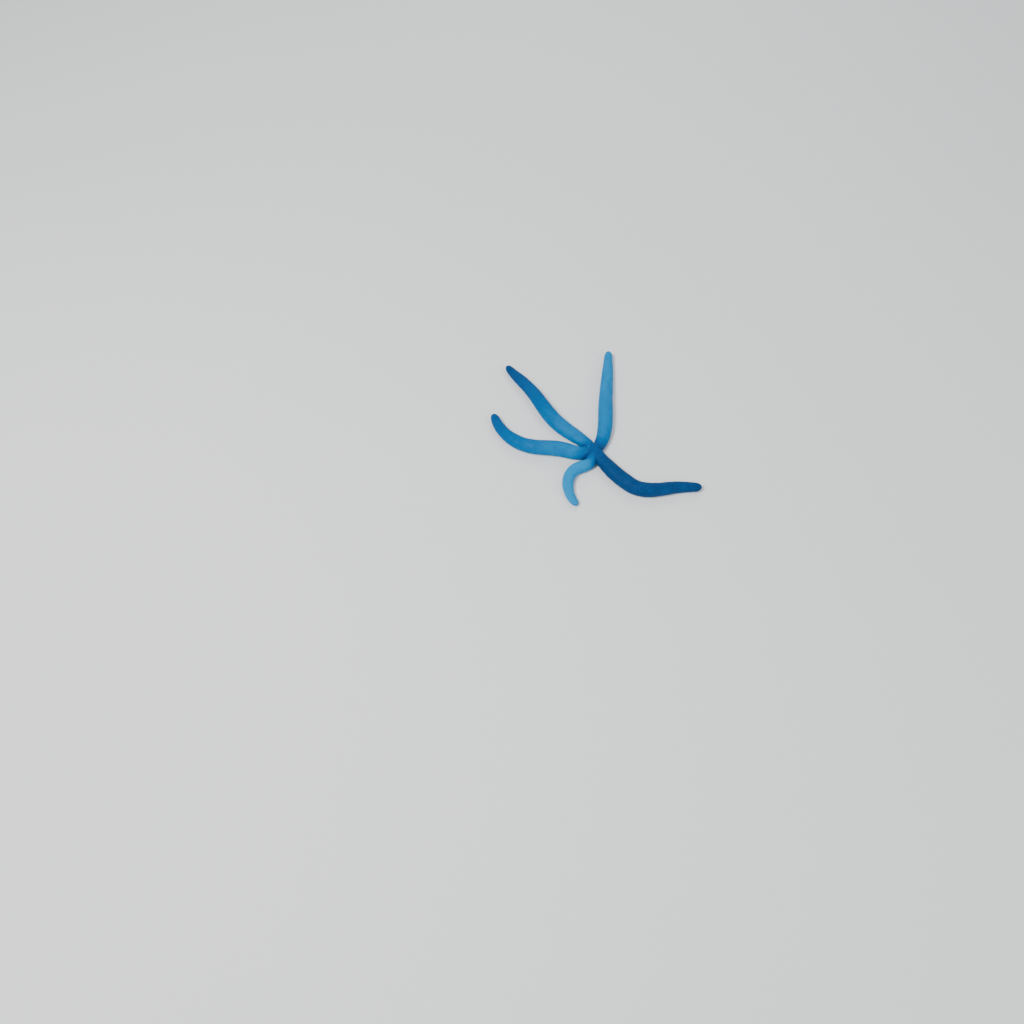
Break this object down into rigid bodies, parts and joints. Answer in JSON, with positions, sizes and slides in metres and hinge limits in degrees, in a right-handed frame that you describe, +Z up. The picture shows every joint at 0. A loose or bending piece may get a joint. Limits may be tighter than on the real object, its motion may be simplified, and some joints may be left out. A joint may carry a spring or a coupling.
{
  "type": "blue starfish",
  "caption": "Blue starfish lying on its underside: a small disc with long round arms, bent as on a reef, the front arm short and regrowing.",
  "frame": {"origin": "middle of the bounding box, on the floor that the starfish lies on", "axes": "+X to the right and +Y away from the picture's camera, +Z up out of the starfish's upper side"},
  "size_m": [0.2327, 0.2132, 0.0142],
  "materials": {
    "skin": "satin, finely grained",
    "sieve_plate": "matt, finely grooved",
    "mouth_skin": "soft, moist"
  },
  "bodies": {
    "root": {"disc": "skin", "arm_1_base": "skin", "arm_1_middle": "skin", "arm_1_tip": "skin", "arm_2_base": "skin", "arm_2_middle": "skin", "arm_2_tip": "skin", "arm_3_base": "skin", "arm_3_middle": "skin", "arm_3_tip": "skin", "arm_4_base": "skin", "arm_4_middle": "skin", "arm_4_tip": "skin", "arm_5_base": "skin", "arm_5_middle": "skin", "arm_5_tip": "skin", "madreporite": "sieve_plate", "mouth": "mouth_skin"}
  },
  "joints": []
}
